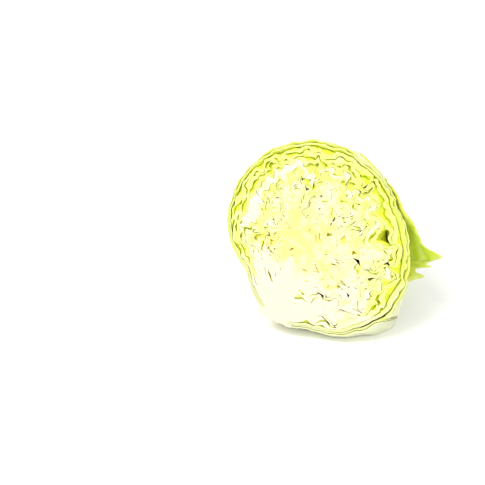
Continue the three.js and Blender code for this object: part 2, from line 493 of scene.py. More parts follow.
class Value:
    """A number or colour socket in a shader, with arithmetic that adds Math nodes."""

    def __init__(self, shader: "Shader", socket: bpy.types.NodeSocket) -> None:
        """Wrap one output socket of a shader's node."""
        self.shader = shader
        self.socket = socket

    def math(self, operation: str, *others: "Number") -> "Value":
        """Add a Math node with this value first."""
        inputs = dict(enumerate((self, *others)))
        return self.shader.node("ShaderNodeMath", {"operation": operation}, inputs)

    def __add__(self, other: "Number") -> "Value":
        """Return self + other."""
        return self.math("ADD", other)

    __radd__ = __add__

    def __mul__(self, other: "Number") -> "Value":
        """Return self * other."""
        return self.math("MULTIPLY", other)

    __rmul__ = __mul__

    def __sub__(self, other: "Number") -> "Value":
        """Return self - other."""
        return self.math("SUBTRACT", other)

    def __rsub__(self, other: float) -> "Value":
        """Return other - self."""
        return self.shader.node("ShaderNodeMath", {"operation": "SUBTRACT"}, {0: other, 1: self})

    def clipped(self) -> "Value":
        """Return self kept between 0 and 1."""
        return self.shader.node(
            "ShaderNodeMath", {"operation": "ADD", "use_clamp": True}, {0: self, 1: 0.0})

    def step(self, low: float, high: float) -> "Value":
        """Return a smooth step from 0 at low to 1 at high."""
        return self.shader.node(
            "ShaderNodeMapRange", {"interpolation_type": "SMOOTHSTEP"},
            {"Value": self, "From Min": low, "From Max": high})


Number = Union[Value, float]
Colour = tuple[float, float, float]


class Shader:
    """One material and the nodes in it."""

    def __init__(self, name: str) -> None:
        """Start an empty material with its output."""
        self.material = bpy.data.materials.new(name)
        self.material.use_nodes = True
        self.tree = self.material.node_tree
        self.tree.nodes.clear()

    def node(self, kind: str, settings: dict[str, object],
             inputs: dict[Union[int, str], object], output: Union[int, str] = 0) -> Value:
        """Add a node.

        Args:
            kind: the node's type.
            settings: properties, set first.
            inputs: socket values or linked values by name or number.
            output: the output socket to return.

        Returns:
            The wrapped output socket.
        """
        made = self.tree.nodes.new(kind)
        for key, value in settings.items():
            setattr(made, key, value)
        for key, value in inputs.items():
            if isinstance(value, Value):
                self.tree.links.new(value.socket, made.inputs[key])
            elif isinstance(value, tuple) and len(value) == 3 and made.inputs[key].type == "RGBA":
                made.inputs[key].default_value = (*value, 1.0)
            else:
                made.inputs[key].default_value = value
        return Value(self, made.outputs[output] if len(made.outputs) else None)

    def mark(self, name: str) -> Value:
        """Read a point attribute."""
        return self.node("ShaderNodeAttribute", {"attribute_name": name}, {}, "Fac")

    def place(self) -> Value:
        """Read the object coordinates, in metres."""
        return self.node("ShaderNodeTexCoord", {}, {}, "Object")

    def noise(self, per_metre: float, detail: float = 3.0, rough: float = 0.55) -> Value:
        """Read fractal noise at a number of features per metre."""
        return self.node("ShaderNodeTexNoise", {}, {
            "Vector": self.place(), "Scale": per_metre, "Detail": detail, "Roughness": rough})

    def blend(self, share: Number, first: Union[Value, Colour],
              second: Union[Value, Colour]) -> Value:
        """Mix two colours by a share of the second."""
        return self.node(
            "ShaderNodeMix", {"data_type": "RGBA"}, {0: share, 6: first, 7: second}, 2)

    def finish(self, sockets: dict[str, object]) -> bpy.types.Material:
        """Close the material with a Principled shader.

        Args:
            sockets: the Principled shader's sockets by name.

        Returns:
            The material.
        """
        surface = self.node("ShaderNodeBsdfPrincipled", {}, sockets)
        self.node("ShaderNodeOutputMaterial", {}, {"Surface": surface})
        return self.material


@dataclass(frozen=True)
class LeafFinish:
    """Colours of one kind of leaf, linear, and its gloss.

    pale, green and gold colour the faces of the leaf, rib its ribs; cream, yellow and lime
    colour the freshly cut edge. Gold is partly painted light: on the heart and inner leaves it is
    their own yellow, deepened to the orange of light passing through them; on the wrappers it is a
    painted glow on the shaded inner sides near the cut; on the stem it is the real browning of its
    end.
    """

    name: str
    pale: Colour
    green: Colour
    gold: Colour
    rib: Colour
    cream: Colour
    yellow: Colour
    lime: Colour
    roughness: float = 0.42
    depth: float = 0.0015
    translucence: float = 0.25
    clouds: float = 48.0
    mottles: float = 130.0
    grains: float = 520.0
    pores: float = 1500.0

    def material(self) -> bpy.types.Material:
        """Make the leaf's material.

        The face of the leaf goes from pale to green by its own mark, mottled at two
        scales, with a little gold; ribs are pale. The cut edge is cream with clouds of
        yellow and lime, and moister.

        Returns:
            The material.
        """
        s = Shader(self.name)
        rib, cut, green, gold = s.mark("rib"), s.mark("cut"), s.mark("green"), s.mark("gold")
        cloud = s.noise(self.clouds, 2.0)
        mottle = s.noise(self.mottles)
        fine = s.noise(self.grains, 4.0)
        greener = (green + (mottle - 0.5) * 0.6 + (fine - 0.5) * 0.2).clipped()
        face = s.blend(greener, self.pale, self.green)
        face = s.blend((gold + (mottle - 0.5) * 0.8).clipped(), face, self.gold)
        face = s.blend((rib + (fine - 0.5) * 0.15).clipped(), face, self.rib)
        warm = (cloud - 0.5) * 2.6 + (mottle - 0.5) * 1.6 + gold * 0.75 - rib * 0.55 + 0.15
        edge = s.blend(warm.clipped(), self.cream, self.yellow)
        limes = green * 1.05 + (mottle - 0.5) * 1.7 - rib * 0.8
        edge = s.blend(limes.clipped(), edge, self.lime)
        colour = s.blend(cut.step(0.35, 0.9), face, edge)
        pores = s.noise(self.pores, 2.0)
        relief = s.node("ShaderNodeBump", {}, {
            "Strength": 0.3, "Distance": 0.0004, "Height": fine * 0.7 + pores * 0.3})
        return s.finish({
            "Base Color": colour,
            "Roughness": (self.roughness + (fine - 0.5) * 0.2 - cut * 0.06).clipped(),
            "Normal": relief, "Specular IOR Level": 0.35,
            "Subsurface Weight": self.translucence,
            "Subsurface Radius": (1.0, 0.95, 0.4), "Subsurface Scale": self.depth,
        })


# The heart and inner gold is partly painted light: their own yellow, deepened to the orange of
# light passing through the leaves.
HEART = LeafFinish(
    "heart_leaf", pale=(0.90, 0.84, 0.22), green=(0.84, 0.84, 0.14), gold=(0.90, 0.66, 0.10),
    rib=(0.88, 0.83, 0.48), cream=(0.89, 0.82, 0.50), yellow=(0.89, 0.83, 0.22),
    lime=(0.85, 0.84, 0.28))
INNER = LeafFinish(
    "inner_leaf", pale=(0.92, 0.91, 0.26), green=(0.78, 0.87, 0.06), gold=(0.92, 0.70, 0.08),
    rib=(0.88, 0.83, 0.54), cream=(0.90, 0.82, 0.56), yellow=(0.89, 0.84, 0.26),
    lime=(0.73, 0.79, 0.20))
# The wrapper's gold is painted light: a bright lime-yellow glow laid on the shaded inner sides near
# the cut face.
WRAPPER = LeafFinish(
    "wrapper_leaf", pale=(0.80, 0.84, 0.34), green=(0.49, 0.63, 0.035), gold=(0.87, 0.92, 0.15),
    rib=(0.78, 0.81, 0.52), cream=(0.87, 0.87, 0.42), yellow=(0.84, 0.87, 0.24),
    lime=(0.75, 0.84, 0.18), roughness=0.36, depth=0.006, translucence=0.55)
STEM = LeafFinish(
    "stem_flesh", pale=(0.84, 0.80, 0.56), green=(0.78, 0.78, 0.44), gold=(0.62, 0.46, 0.24),
    rib=(0.86, 0.80, 0.54), cream=(0.86, 0.79, 0.54), yellow=(0.87, 0.80, 0.34),
    lime=(0.84, 0.84, 0.46), roughness=0.45)


# ---------------------------------------------------------------- inner leaves


class Side(Enum):
    """Where a leaf leaves the stem."""

    LEFT = "left"
    RIGHT = "right"
    ROUND = "round"


@dataclass(frozen=True)
class Cavity:
    """A pocket of air between leaves: where it meets the cut face, its length along the
    leaves and its depth in mm, and its size as a share of a leaf's thickness."""

    across: float
    along: float
    length: float
    size: float
    deep: float = 2.4


@dataclass(frozen=True)
class Midrib:
    """The thick middle of one inner leaf: round angle, width in degrees and extra
    thickness as a share of a leaf's."""

    leaf: int
    turn: float
    width: float
    extra: float

    def across(self, turn: Array) -> Array:
        """Return the rib's profile over round angles, 1 at its middle."""
        return bell(turn, float(unrolled(np.array(self.turn))), self.width)


@dataclass
class LeafStack:
    """All inner leaves at once: how thick each one is and how much air lies outside it."""

    head: Head
    count: int = 22
    heart_count: int = 8
    first: float = 0.012
    sides: tuple[Side, ...] = (Side.LEFT, Side.RIGHT, Side.LEFT, Side.RIGHT, Side.ROUND)
    midribs: tuple[Midrib, ...] = (
        Midrib(18, 186.0, 58.0, 2.1), Midrib(18, 300.0, 30.0, 2.2),
        Midrib(12, 242.0, 20.0, 0.8), Midrib(13, 318.0, 40.0, 0.9),
        Midrib(15, 244.0, 22.0, 1.0), Midrib(16, 320.0, 36.0, 0.7),
    )
    arc: int = 18
    pocket_width: float = 1.7
    rows_mm: tuple[float, ...] = (
        0.0, 0.28, 0.8, 1.6, 2.7, 4.2, 6.2, 9.0, 13.0, 18.5, 26.0, 36.0, 50.0)
    column_mm: float = 0.62
    crease: float = 55.0
    crinkled: tuple[Spot, ...] = (
        Spot(-42.0, -20.0, 15.0), Spot(-52.0, 26.0, 14.0), Spot(-26.0, 52.0, 15.0),
        Spot(12.0, 50.0, 13.0), Spot(42.0, 42.0, 12.0), Spot(64.0, 4.0, 12.0),
        Spot(62.0, -24.0, 12.0),
    )
    cavities: tuple[Cavity, ...] = (
        Cavity(47.0, 24.0, 5.0, 4.2, 9.0), Cavity(62.0, 25.0, 4.5, 0.8, 4.0),
        Cavity(-50.0, -20.0, 5.0, 1.2), Cavity(-42.0, -23.0, 3.0, 1.9, 4.0),
        Cavity(-33.0, -21.0, 3.0, 1.1), Cavity(-37.0, -14.0, 4.0, 1.1, 3.0),
        Cavity(-53.0, 11.0, 4.0, 1.2), Cavity(-57.0, 31.0, 2.5, 1.0),
        Cavity(-50.0, 34.0, 2.5, 1.0), Cavity(-29.0, 50.0, 6.5, 3.2, 3.2),
        Cavity(-21.0, 54.0, 4.0, 1.2, 5.0), Cavity(-20.0, 61.0, 6.0, 1.1),
        Cavity(-17.0, 50.0, 5.0, 0.8), Cavity(-24.0, 41.0, 2.5, 0.8),
        Cavity(0.0, 47.0, 1.8, 1.2, 5.0), Cavity(8.0, 49.0, 6.0, 1.3),
        Cavity(17.0, 48.0, 6.0, 1.3), Cavity(5.0, 66.0, 9.0, 1.8),
        Cavity(29.0, 50.0, 6.0, 1.1), Cavity(37.0, 40.0, 5.0, 1.6),
        Cavity(50.0, 42.0, 5.0, 1.0), Cavity(11.0, -22.0, 4.0, 0.7, 2.0),
        Cavity(-14.0, -16.0, 3.0, 1.0, 3.0), Cavity(13.0, -52.0, 5.0, 1.4, 2.2),
        Cavity(29.0, -48.0, 6.0, 2.0, 2.2), Cavity(23.0, -65.0, 11.0, 0.9, 3.0),
        Cavity(36.0, -57.0, 6.0, 0.8, 2.4), Cavity(36.0, -26.0, 3.0, 0.7, 2.4),
        Cavity(-18.0, -45.0, 7.0, 0.7, 3.0), Cavity(-28.0, -29.0, 2.5, 0.8, 4.0),
        Cavity(63.0, -25.0, 5.0, 1.2, 4.0), Cavity(70.0, -20.0, 8.0, 1.4),
        Cavity(15.0, 22.0, 2.5, 0.9, 3.0), Cavity(11.0, 14.0, 2.5, 0.8, 3.0),
        Cavity(27.0, 23.0, 3.5, 0.9, 3.0), Cavity(-14.0, 14.0, 2.5, 0.9, 3.0),
    )

    def side(self, index: int) -> Side:
        """Return the side of the stem that a leaf grows from."""
        return self.sides[index % len(self.sides)]

    def span(self, index: int) -> tuple[float, float]:
        """Return the round angles between which a leaf lies."""
        stagger = (index * 7) % 3
        if self.side(index) is Side.LEFT:
            return (-40.0 if index < self.heart_count else -20.0 + 20.0 * stagger, STEM_LEFT)
        if self.side(index) is Side.RIGHT:
            return (STEM_RIGHT, 160.0 if index < self.heart_count else 200.0 - 20.0 * stagger)
        return (STEM_RIGHT, STEM_LEFT)

    def ribs(self, index: int) -> list[Midrib]:
        """Return the midribs of a leaf."""
        return [rib for rib in self.midribs if rib.leaf == index]

    def middle(self, index: int) -> float:
        """Return the middle layer of a leaf when nothing squeezes it."""
        return 0.1 + 0.0367 * index

    def slots(self, depth: Array, turn: Array) -> tuple[Array, Array]:
        """Share the way from heart to wrapper among the leaves and the air between them.

        Each leaf and the air outside it get a weight that changes from place to place:
        noise, thick ribs low down, and pockets of air. Their running sum, scaled to the
        whole way, gives the layers, so no leaf can cross the next.

        Args:
            depth: depth angles, degrees.
            turn: round angles, degrees.

        Returns:
            The inner and outer layer of every leaf, first axis the leaf.
        """
        skin = self.head.skin(depth, turn)
        way = self.head.direction(depth, turn)
        leaf, air = [], []
        for index in range(self.count):
            layer = self.middle(index)
            spot = layer * skin[..., None] * way + (1.0 - layer) * np.array(self.head.heart)
            own = np.array([0.37, 0.71, 0.13]) * index
            start, end = self.span(index)
            there = smooth(start - 1.0, start + 10.0, turn) * smooth(end + 1.0, end - 10.0, turn)
            if self.side(index) is not Side.RIGHT:
                there = np.where(turn > 200.0, 1.0, there)
            if self.side(index) is not Side.LEFT:
                there = np.where(turn < -30.0, 1.0, there)
            thick = 1.0 + 0.45 * Patterns.THICK.at(spot, own)
            thick = thick + 0.3 * Patterns.THICK_FINE.at(spot, own)
            for rib in self.ribs(index):
                thick = thick + rib.extra * rib.across(turn)
            foot = smooth(-10.0, -50.0, spot[..., 1] + 0.35 * np.abs(spot[..., 0] + 6.0))
            outer = smooth(0.58, 0.84, layer) * smooth(-0.8, 0.1, np.sin(np.radians(turn)))
            pocket = np.maximum(Patterns.POCKET.at(spot, own * 1.7) - 0.42, 0.0)
            loose = np.maximum(Patterns.LOOSE.at(spot, own) - 0.15, 0.0)
            gap = 0.01 + 3.4 * pocket * (1.0 - 0.85 * foot) + outer * (0.03 + 1.9 * loose)
            frill = np.maximum(Patterns.FRILL.at(spot, own * 1.3) - 0.05, 0.0)
            for place in self.crinkled:
                gap = gap + 2.6 * place.near(spot) * frill
            if index >= self.count - 3:
                crinkle = np.maximum(0.3 + 1.3 * Patterns.CRINKLE.at(spot, own), 0.0)
                gap = gap + 1.3 * crinkle * bell(turn, 160.0, 60.0)
            gap = gap * (1.0 - 0.985 * smooth(0.7, 3.8, spot[..., 2]))
            for hole in self.cavities:
                gap = gap + self.hollow(hole, spot)
            leaf.append(np.maximum(thick, 0.3) * (0.03 + 0.97 * there))
            air.append(gap * (0.2 + 0.8 * there))
        weights = np.stack([part for pair in zip(leaf, air) for part in pair])
        edges = np.concatenate([np.zeros((1, *turn.shape)), np.cumsum(weights, axis=0)])
        edges = self.first + (self.head.seam(turn) - self.first) * edges / edges[-1]
        return edges[0:-1:2], edges[1::2]

    def hollow(self, hole: Cavity, spot: Array) -> Array:
        """Return a pocket's extra air: a bell along the leaves, across them and inwards."""
        way = np.array([hole.across - self.head.heart[0], hole.along - self.head.heart[1]])
        way = way / np.linalg.norm(way)
        dx, dy = spot[..., 0] - hole.across, spot[..., 1] - hole.along
        out = (dx * way[0] + dy * way[1]) / self.pocket_width
        aside = (dy * way[0] - dx * way[1]) / hole.length
        return hole.size * np.exp(-out ** 2 - aside ** 2 - (spot[..., 2] / hole.deep) ** 2)

    def sheet(self, index: int) -> Sheet:
        """Make one inner leaf, fine at the cut face and coarse deep inside.

        Args:
            index: the leaf, counted from the heart.

        Returns:
            The leaf's two sides and marks.
        """
        start, end = self.span(index)
        layer = self.middle(index)
        radius = max(layer * USUAL_RADIUS, 6.0)
        columns = int(np.clip(math.radians(end - start) * radius / self.column_mm, 90, 560))
        turns = np.linspace(start, end, columns)
        steps = FACE - np.degrees(np.array(self.rows_mm) / radius)
        steps = steps[steps > 22.0]
        steps = np.append(steps, 18.0)
        turn, depth = np.meshgrid(turns, steps, indexing="ij")
        low, high = self.slots(depth, turn)
        inside, outside = low[index], high[index]
        tip = np.minimum(smooth(start - 0.5, start + 7.0, turn) if start > -60 else 1.0,
                         smooth(end + 0.5, end - 7.0, turn) if end < 240 else 1.0)
        middle = 0.5 * (inside + outside)
        half = 0.5 * (outside - inside) * (0.75 + 0.25 * tip)
        sides = []
        for level in (middle + half, middle - half):
            sides.append(self.head.crumpled(self.head.at(level, depth, turn), level))
        recess = 0.12 + 0.3 * Patterns.RECESS.at(sides[0], float(index))
        fade = smooth(3.0, 0.0, sides[0][..., 2])
        for side in sides:
            side[..., 2] += np.maximum(recess, 0.0) * fade
        cut = (steps >= FACE - 0.01).astype(float)[None, :] + 0.0 * turn
        return Sheet(sides[0], sides[1], self.marks(index, turn, sides[0], tip, cut))

    def marks(self, index: int, turn: Array, points: Array, tip: Array,
              cut: Array) -> dict[str, tuple[Array, Array]]:
        """Colour one inner leaf: its ribs and base pale, the outer and crinkled parts green.

        Args:
            index: the leaf, counted from the heart.
            turn: round angles, degrees.
            points: positions in head axes, mm.
            tip: 1 along the leaf, falling to 0 at its ends.
            cut: 1 on the cut edge.

        Returns:
            Each mark on the outer and the inner side.
        """
        layer = self.middle(index)
        height = np.sin(np.radians(turn))
        foot = smooth(-14.0, -46.0, points[..., 1] + 0.3 * np.abs(points[..., 0] + 6.0))
        own = (0.3 if index < self.heart_count else 0.18) * math.sin(2.4 * index)
        green = smooth(0.42, 0.93, layer + 0.0 * turn) * (0.3 + 0.7 * smooth(-0.8, 0.4, height))
        if index > self.arc:
            band = smooth(110.0, 150.0, turn) * smooth(250.0, 232.0, turn)
            green, foot = np.maximum(green, 0.95 * band), foot * (1.0 - 0.85 * band)
        green = np.clip(green + 0.10 * (1.0 - tip) + own * (1.0 - foot), 0.0, 1.0)
        # Gold is partly painted light: the deeper leaves' own yellow, pushed to the orange that
        # light takes when it passes through the leaves into the gaps.
        gold = (smooth(0.75, 0.30, layer) * 0.6 + own) * (1.0 - foot)
        rib = foot
        if index == self.arc:
            green = 0.4 * green
        for midrib in self.ribs(index):
            rib = rib + min(midrib.extra, 1.0) * midrib.across(turn)
        if index != self.arc:
            green = green + 0.45 * sum(place.near(points) for place in self.crinkled)
        green, rib = green + 0.35 * (1.0 - cut), rib * (0.35 + 0.65 * cut)
        green, rib, gold = (np.clip(mark, 0.0, 1.0) for mark in (green, rib, gold))
        return {"green": (green, green), "rib": (rib, rib), "cut": (cut, cut), "gold": (gold, gold)}

    def build(self) -> None:
        """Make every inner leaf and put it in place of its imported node."""
        heart, inner = HEART.material(), INNER.material()
        for index in range(self.count):
            young = index < self.heart_count
            slot = "heart_leaf" if young else "inner_leaf"
            node = f"{slot}_{index + 1 - (0 if young else self.heart_count)}"
            piece = self.sheet(index).build(f"{node}_skin", self.head, self.crease)
            dress(piece, heart if young else inner, node)


def dress(piece: bpy.types.Object, material: bpy.types.Material, node: str) -> None:
    """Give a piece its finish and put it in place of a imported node.

    Args:
        piece: the new object.
        material: its finish.
        node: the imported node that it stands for.
    """
    piece.data.materials.append(material)
    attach(piece, "root")
    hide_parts(node)
    LOG.info("%s: %d faces", piece.name, len(piece.data.polygons))


# ---------------------------------------------------------------- wrapper leaves


class Rank(IntEnum):
    """The order of the wrappers from the inside out."""

    UNDER = 0
    LEFT = 1
    RIGHT = 2
    LOOSE = 3
    OUTER = 4


@dataclass(frozen=True)
class Wrapper:
    """One of the large outer leaves.

    It runs over round angles from start to end, with its midrib at rib_turn, and in depth
    from its margin, or the cut face, to the depth angle deep. Green is its colour's share.
    """

    name: str
    rank: Rank
    start: float
    end: float
    rib_turn: float
    columns: int
    rows: int
    deep: float = 6.0
    margin: Optional[Callable[[Array], Array]] = None
    flare: Optional[Callable[[Array, Array], Array]] = None
    wrapped: bool = False
    green: float = 0.6

    def reach(self, turn: Array) -> Array:
        """Return the depth angle where the leaf ends: its margin, or the cut face."""
        return np.full_like(turn, FACE) if self.margin is None else self.margin(turn)

    def presence(self, depth: Array, turn: Array) -> Array:
        """Return 1 where the leaf lies and 0 where it does not, easing over its edges."""
        lap = unrolled(turn)
        there = np.ones_like(depth)
        if self.margin is not None:
            there = smooth(4.0, -5.0, depth - self.margin(lap))
        if not self.wrapped and self.start > STEM_RIGHT + 20.0:
            there = there * smooth(self.start - 1.5, self.start + 7.0, lap)
        if not self.wrapped and self.end < STEM_LEFT - 20.0:
            there = there * smooth(self.end + 1.5, self.end - 7.0, lap)
        return there


def outer_margin(turn: Array) -> Array:
    """Return the depth angle of the outermost leaf's free edge: back over the top."""
    lap = np.mod(turn + 90.0, 360.0)
    away = np.minimum(lap, 360.0 - lap)
    back = np.where(lap < 180.0, smooth(60.0, 85.0, away), smooth(32.0, 95.0, away))
    ruffle = 1.5 * np.sin(np.radians(turn * 9.0) + 1.0) + 0.9 * np.sin(np.radians(turn * 23.0))
    return 90.0 - 34.0 * back + (4.0 * np.sin(np.radians(turn * 3.0)) + ruffle) * back


def loose_margin(turn: Array) -> Array:
    """Return the depth angle of the loose leaf's edge: torn low down, rounded at the top."""
    wavy = turn + 1.1 * np.sin(np.radians(turn * 85.0))
    torn = 0.60 * smooth(14.5, 8.5, wavy) + 0.40 * smooth(4.0, -4.0, turn)
    torn = torn * smooth(-26.0, -14.0, turn)
    ragged = 1.3 * np.sin(np.radians(turn * 31.0)) + 1.0 * np.sin(np.radians(turn * 73.0) + 2.0)
    ragged = ragged * smooth(-40.0, -10.0, turn) * smooth(16.0, 9.0, turn)
    return 89.0 - 26.0 * torn - 50.0 * smooth(58.0, 90.0, turn) ** 2 + ragged


def right_margin(turn: Array) -> Array:
    """Return the depth angle of the right leaf's edge: rounded back over the top."""
    return 90.0 - 42.0 * smooth(84.0, 112.0, turn) ** 2


def loose_flare(depth: Array, turn: Array) -> Array:
    """Return how far the loose leaf stands off the head, as a share of its radius.

    It stands off more and more from its top down to the tip of the tear, on top of the
    swell that it shares with its neighbours.
    """
    lift = 0.03 * smooth(76.0, 50.0, turn) + 0.055 * smooth(44.0, 24.0, turn)
    lift = lift + 0.175 * smooth(22.5, 10.5, turn)
    return lift * smooth(62.0, 89.0, depth) * smooth(-16.0, -4.0, turn) + low_swell(depth, turn)


def low_swell(depth: Array, turn: Array) -> Array:
    """Return how far the outer leaves' thick ribs bulge low on the right."""
    return 0.15 * bell(signed(turn), -29.0, 23.0) * bell(depth, 71.0, 12.0)


@dataclass(frozen=True)
class Veins:
    """One order of side veins: spacing along the midrib in mm, slant and bend off it, and
    each vein's width and rise in mm and its paleness."""

    spacing: float
    slant: float
    width: float
    rise: float
    tone: float
    bend: float


@dataclass(frozen=True)
class Opening:
    """A wider gap outside one wrapper: round angle, width in degrees and size in shares."""

    rank: Rank
    turn: float
    width: float
    size: float


@dataclass
class WrapperLeaves:
    """The large leaves that close the head, veined and blistered on the outside."""

    head: Head
    last: float = 0.985
    lamina: float = 0.9
    filled: float = 0.985
    face_filled: float = 0.92
    sphere: float = 75.0
    crease: float = 55.0
    orders: tuple[Veins, ...] = (
        Veins(21.0, 1.55, 1.7, 0.95, 0.75, 0.010), Veins(9.5, 0.75, 0.9, 0.42, 0.45, 0.006))
    leaves: tuple[Wrapper, ...] = (
        Wrapper("under_leaf", Rank.UNDER, STEM_RIGHT, STEM_LEFT, 90.0, 470, 18, green=0.7),
        Wrapper("left_leaf", Rank.LEFT, 60.0, STEM_LEFT, 140.0, 250, 84, green=0.8),
        Wrapper("right_leaf", Rank.RIGHT, STEM_RIGHT, 110.0, 35.0, 230, 84, margin=right_margin,
                flare=low_swell, green=0.8),
        Wrapper("loose_leaf", Rank.LOOSE, -78.0, 88.0, 18.0, 240, 76, deep=20.0,
                margin=loose_margin,
                flare=loose_flare, green=0.9),
        Wrapper("outer_leaf", Rank.OUTER, -90.0, 270.0, 95.0, 380, 90, deep=1.2,
                margin=outer_margin,
                flare=low_swell, wrapped=True, green=0.7),
    )
    openings: tuple[Opening, ...] = (
        Opening(Rank.LEFT, 167.0, 5.0, 3.0), Opening(Rank.UNDER, 155.0, 5.0, 3.0),
        Opening(Rank.LEFT, 146.0, 3.5, 3.0), Opening(Rank.UNDER, 138.0, 5.0, 2.5),
        Opening(Rank.LEFT, 128.0, 6.0, 2.5), Opening(Rank.LEFT, 215.0, 12.0, 1.2),
        Opening(Rank.OUTER, 240.0, 12.0, 1.0), Opening(Rank.RIGHT, 84.0, 11.0, 3.5),
        Opening(Rank.LEFT, 105.0, 7.0, 1.6), Opening(Rank.UNDER, -18.0, 7.0, 2.4),
        Opening(Rank.RIGHT, -24.0, 8.0, 2.8), Opening(Rank.LEFT, 22.0, 8.0, 1.6),
        Opening(Rank.RIGHT, 4.0, 7.0, 1.4),
    )

    def veins(self, leaf: Wrapper, depth: Array, turn: Array) -> tuple[Array, Array]:
        """Draw a leaf's midrib, side veins and fine network on its outside.

        Along the midrib's great circle runs s, and across it q, both in mm. The midrib is
        a ridge that narrows with s; side veins leave it every few centimetres and bend
        towards the tip; a network of cells lies between them.

        Args:
            leaf: the leaf.
            depth: depth angles, degrees.
            turn: round angles, degrees.

        Returns:
            Height in mm, and how pale each point is.
        """
        way = self.head.direction(depth, turn)
        around = math.radians(leaf.rib_turn)
        out = np.array([math.cos(around), 0.0, math.sin(around)])
        across = np.array([-math.sin(around), 0.0, math.cos(around)])
        s = np.arctan2(way @ out, -way[..., 1]) * self.sphere
        q = np.arcsin(np.clip(way @ across, -1.0, 1.0)) * self.sphere
        spot = way * self.sphere
        wander = 5.0 * Patterns.WANDER.at(spot, rank=leaf.rank)
        fine_wander = 2.0 * Patterns.FINE_WANDER.at(spot, rank=leaf.rank)
        q = q + wander * 0.6 + fine_wander * 0.4
        s_bent = s + wander + fine_wander
        half = np.maximum(10.0 * np.exp(-np.maximum(s, 0.0) / 60.0), 0.9)
        rib = np.exp(-(np.abs(q) / half) ** 2.4)
        height = rib * (0.35 + 2.6 * np.exp(-np.maximum(s, 0.0) / 55.0))
        pale = rib * (0.55 + 0.45 * np.exp(-np.maximum(s, 0.0) / 90.0))
        for order in self.orders:
            shift = np.where(q > 0.0, order.spacing * 0.45, 0.0)
            line = s_bent - order.slant * np.abs(q) + order.bend * q * q + shift
            away = np.abs(line / order.spacing - np.round(line / order.spacing))
            away = away * order.spacing / math.hypot(1.0, order.slant)
            vein = bell(away, 0.0, order.width) * smooth(0.0, 8.0, np.abs(q))
            patch = Pattern(Patterns.VEIN_PATCH, order.spacing * 1.1).at(spot, rank=leaf.rank)
            vein = vein * (0.45 + 0.55 * smooth(-0.4, 0.3, patch))
            height = height + order.rise * vein * np.exp(-np.abs(q) / 90.0)
            pale = np.maximum(pale, order.tone * vein)
        bent = 0.35 * Patterns.BLISTER_BEND.at(spot)[..., None]
        wall = Grain.cells(spot / Patterns.BLISTER.size + bent, Patterns.BLISTER.seed + leaf.rank)
        height = height + 0.34 * smooth(0.0, 0.5, wall)
        pale = np.maximum(pale, 0.28 * smooth(0.10, 0.0, wall))
        base = smooth(72.0, 22.0, s)
        if leaf.rank >= Rank.RIGHT:
            base = np.maximum(base, smooth(0.01, 0.05, low_swell(depth, turn)))
        return height, np.clip(pale + 0.8 * base, 0.0, 1.0)

    def layers(self, depth: Array, turn: Array) -> tuple[Array, Array, list[tuple[Array, Array]]]:
        """Share the wrappers' room among them, with crinkled air between.

        Leaves keep their thickness in mm where they fit, and the air takes up the rest, so
        none crosses the next. The outside follows the veins of the topmost leaf.

        Args:
            depth: depth angles, degrees.
            turn: round angles, degrees.

        Returns:
            The inner and outer layer of every leaf, first axis the leaf, and its veins.
        """
        skin = np.maximum(self.head.skin(depth, turn), 1.0)
        spot = self.head.direction(depth, turn) * USUAL_RADIUS
        near = smooth(87.4, 89.7, depth)
        foot = smooth(0.0, -0.8, spot[..., 1] / USUAL_RADIUS)
        lap = unrolled(turn)
        relief, leaf, air, veins = 0.0 * depth, [], [], []
        for one in self.leaves:
            there = one.presence(depth, turn)
            height, pale = self.veins(one, depth, turn)
            veins.append((height, pale))
            relief = relief + there * (height - relief)
            leaf.append(there * (self.lamina + 0.55 * height) * (1.0 + 2.5 * foot) + 0.02)
            crinkle = np.maximum(Patterns.POCKET.at(spot, 3.7 * one.rank) + 0.1, 0.0)
            room = 0.3 + 3.0 * near * crinkle * (1.0 - 0.7 * foot)
            for gap in self.openings:
                if gap.rank == one.rank:
                    room = room + near * gap.size * bell(lap, gap.turn, gap.width)
            air.append(there * room + 0.02)
        swell = 1.3 * Patterns.SWELL.at(spot)
        swell = swell + 0.6 * Patterns.FINE_SWELL.at(spot)
        proud = (swell * (1.0 - 0.5 * near) + relief) / skin
        outside = self.last + self.head.fuller(turn) + proud
        inside = self.head.seam(turn) + 0.001
        room = (outside - inside) * skin
        leaf, air = np.stack(leaf), np.stack(air)
        packed = self.filled * room / leaf.sum(axis=0)
        opened = np.minimum(1.0, (self.face_filled + 0.05 * foot) * packed)
        leaf = leaf * (packed + near * (opened - packed))
        air = air * (room - leaf.sum(axis=0)) / air.sum(axis=0)
        top = inside + np.cumsum(leaf + air, axis=0) / skin
        return top - leaf / skin, top, veins

    def grid(self, leaf: Wrapper) -> tuple[Array, Array, Array]:
        """Lay out a wrapper's grid from its margin inwards, clear of the stem.

        Args:
            leaf: the leaf.

        Returns:
            Depth angles and round angles of the grid, and each row's share of the way in.
        """
        turns = np.linspace(leaf.start, leaf.end, leaf.columns, endpoint=not leaf.wrapped)
        reach = leaf.reach(turns)
        if leaf.wrapped:
            back = np.radians(np.mod(turns, 360.0))
            cone = math.cos(math.asin(self.head.stem_radius / self.head.stem_length))
            rise = np.clip(cone / np.maximum(-np.sin(back), 0.05), 0.0, 1.0)
            reach = np.minimum(reach, np.degrees(np.arcsin(rise)))
        if leaf.rows < 30:
            share = np.linspace(0.0, 1.0, leaf.rows) ** 2.6
        else:
            share = np.insert(np.linspace(0.0, 1.0, leaf.rows - 1) ** 1.12, 1, 0.0025)
        depth = reach[:, None] + (leaf.deep - reach[:, None]) * share[None, :]
        turn = np.repeat(turns[:, None], leaf.rows, axis=1)
        return depth, turn, share

